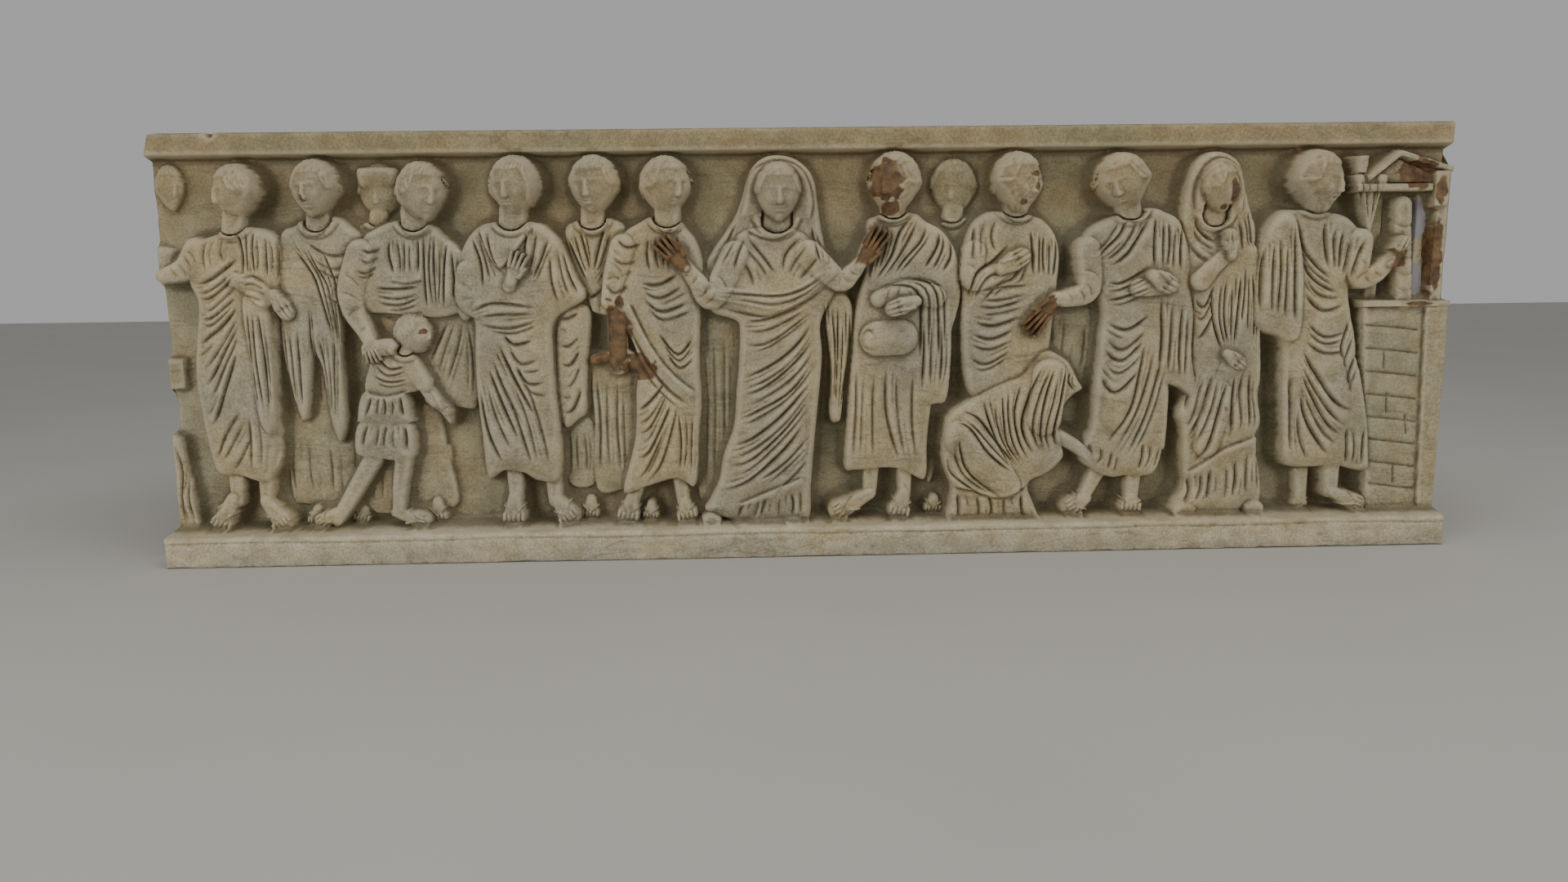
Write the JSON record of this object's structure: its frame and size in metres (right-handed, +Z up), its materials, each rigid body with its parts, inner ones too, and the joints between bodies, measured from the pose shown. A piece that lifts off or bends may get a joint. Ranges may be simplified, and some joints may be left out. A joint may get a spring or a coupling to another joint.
{
  "type": "stone sarcophagus",
  "caption": "Hollow marble sarcophagus chest, open at the top, with a high relief frieze of standing draped figures along its front and plain tooled sides.",
  "frame": {"origin": "middle of the underside's bounding rectangle, on the surface the chest stands on", "axes": "+X along the chest to the viewer's right, +Y from the carved front to the back, +Z up; the frieze faces -Y"},
  "size_m": [2.1, 0.68, 0.69],
  "materials": {
    "weathered_marble": "matte"
  },
  "bodies": {
    "root": {"chest": "weathered_marble"}
  },
  "joints": []
}
